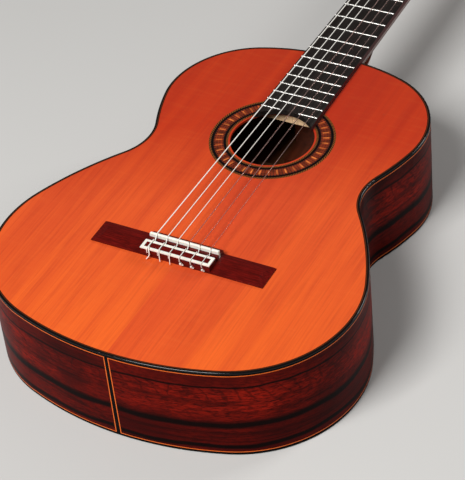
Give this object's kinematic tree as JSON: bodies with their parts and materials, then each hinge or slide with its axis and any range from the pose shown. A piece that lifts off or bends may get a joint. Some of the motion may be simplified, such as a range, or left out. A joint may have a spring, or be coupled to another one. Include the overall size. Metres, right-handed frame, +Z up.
{
  "type": "classical guitar",
  "caption": "Nylon-string classical guitar: waisted wooden body with a round sound hole, tie bridge, fretted neck and slotted head with worm-geared tuning machines.",
  "frame": {"origin": "middle of the whole guitar's length and width, on the plane of its flat back, on which it lies", "axes": "+Z up out of the soundboard, +Y from the tail towards the head, +X towards the treble strings"},
  "size_m": [0.368, 0.9932, 0.1153],
  "materials": {
    "cedar_top": "gloss",
    "rosewood": "gloss",
    "bridge_rosewood": "satin",
    "spruce": "matte",
    "neck_cedar": "satin",
    "ebony": "satin",
    "black_fibre": "gloss",
    "light_line": "gloss",
    "mosaic": "gloss",
    "checked_wood": "gloss",
    "bone": "satin",
    "nickel_silver": "polished",
    "wound_wire": "polished",
    "nylon": "gloss",
    "plate_brass": "polished",
    "gear_brass": "satin",
    "steel": "polished",
    "post_plastic": "gloss",
    "button_pearl": "gloss"
  },
  "bodies": {
    "guitar": {"soundboard_bass": "cedar_top", "soundboard_treble": "cedar_top", "rosette_mosaic": "mosaic", "rosette_dark_rings": "black_fibre", "rosette_checked_bands": "checked_wood", "sound_hole_patch": "spruce", "fan_struts": "spruce", "harmonic_bars": "spruce", "bridge_patch": "spruce", "back_bass": "rosewood", "back_treble": "rosewood", "back_centre_strip": "light_line", "back_bars": "spruce", "side_bass": "rosewood", "side_treble": "rosewood", "top_binding": "black_fibre", "back_binding": "black_fibre", "light_purfling": "light_line", "dark_purfling": "black_fibre", "tail_graft": "black_fibre", "linings": "spruce", "tail_block": "neck_cedar", "neck": "neck_cedar", "heel_cap": "black_fibre", "head": "neck_cedar", "head_veneer": "rosewood", "fingerboard": "ebony", "frets": "nickel_silver", "nut": "bone", "bridge": "bridge_rosewood", "saddle": "bone", "tie_block_inlay": "bone", "wound_strings": "wound_wire", "nylon_strings": "nylon", "tuner_plates": "plate_brass", "tuner_screws": "steel"},
    "string_post_6": {"roller_6": "post_plastic", "gear_6": "gear_brass"},
    "tuning_key_6": {"worm_6": "steel", "button_6": "button_pearl"},
    "string_post_5": {"roller_5": "post_plastic", "gear_5": "gear_brass"},
    "tuning_key_5": {"worm_5": "steel", "button_5": "button_pearl"},
    "string_post_4": {"roller_4": "post_plastic", "gear_4": "gear_brass"},
    "tuning_key_4": {"worm_4": "steel", "button_4": "button_pearl"},
    "string_post_3": {"roller_3": "post_plastic", "gear_3": "gear_brass"},
    "tuning_key_3": {"worm_3": "steel", "button_3": "button_pearl"},
    "string_post_2": {"roller_2": "post_plastic", "gear_2": "gear_brass"},
    "tuning_key_2": {"worm_2": "steel", "button_2": "button_pearl"},
    "string_post_1": {"roller_1": "post_plastic", "gear_1": "gear_brass"},
    "tuning_key_1": {"worm_1": "steel", "button_1": "button_pearl"}
  },
  "joints": [
    {"name": "tuning_key_6_turn", "type": "hinge", "parent": "guitar", "child": "tuning_key_6", "pos_m": [-0.0415, 0.35205, 0.08309], "axis": [0, 0.2588, 0.9659], "continuous": true},
    {"name": "string_post_6_turn", "type": "hinge", "parent": "guitar", "child": "string_post_6", "pos_m": [0, 0.3606, 0.0808], "axis": [1, 0, 0], "continuous": true},
    {"name": "tuning_key_5_turn", "type": "hinge", "parent": "guitar", "child": "tuning_key_5", "pos_m": [-0.0415, 0.38586, 0.07403], "axis": [0, 0.2588, 0.9659], "continuous": true},
    {"name": "string_post_5_turn", "type": "hinge", "parent": "guitar", "child": "string_post_5", "pos_m": [0, 0.39441, 0.07174], "axis": [1, 0, 0], "continuous": true},
    {"name": "tuning_key_4_turn", "type": "hinge", "parent": "guitar", "child": "tuning_key_4", "pos_m": [-0.0415, 0.41967, 0.06497], "axis": [0, 0.2588, 0.9659], "continuous": true},
    {"name": "string_post_4_turn", "type": "hinge", "parent": "guitar", "child": "string_post_4", "pos_m": [0, 0.42822, 0.06268], "axis": [1, 0, 0], "continuous": true},
    {"name": "tuning_key_3_turn", "type": "hinge", "parent": "guitar", "child": "tuning_key_3", "pos_m": [0.0415, 0.41967, 0.06497], "axis": [0, 0.2588, 0.9659], "continuous": true},
    {"name": "string_post_3_turn", "type": "hinge", "parent": "guitar", "child": "string_post_3", "pos_m": [0, 0.42822, 0.06268], "axis": [1, 0, 0], "continuous": true},
    {"name": "tuning_key_2_turn", "type": "hinge", "parent": "guitar", "child": "tuning_key_2", "pos_m": [0.0415, 0.38586, 0.07403], "axis": [0, 0.2588, 0.9659], "continuous": true},
    {"name": "string_post_2_turn", "type": "hinge", "parent": "guitar", "child": "string_post_2", "pos_m": [0, 0.39441, 0.07174], "axis": [1, 0, 0], "continuous": true},
    {"name": "tuning_key_1_turn", "type": "hinge", "parent": "guitar", "child": "tuning_key_1", "pos_m": [0.0415, 0.35205, 0.08309], "axis": [0, 0.2588, 0.9659], "continuous": true},
    {"name": "string_post_1_turn", "type": "hinge", "parent": "guitar", "child": "string_post_1", "pos_m": [0, 0.3606, 0.0808], "axis": [1, 0, 0], "continuous": true}
  ],
  "couplings": [
    {"joint": "string_post_6_turn", "follows": "tuning_key_6_turn", "ratio": 0.071429},
    {"joint": "string_post_5_turn", "follows": "tuning_key_5_turn", "ratio": 0.071429},
    {"joint": "string_post_4_turn", "follows": "tuning_key_4_turn", "ratio": 0.071429},
    {"joint": "string_post_3_turn", "follows": "tuning_key_3_turn", "ratio": 0.071429},
    {"joint": "string_post_2_turn", "follows": "tuning_key_2_turn", "ratio": 0.071429},
    {"joint": "string_post_1_turn", "follows": "tuning_key_1_turn", "ratio": 0.071429}
  ]
}
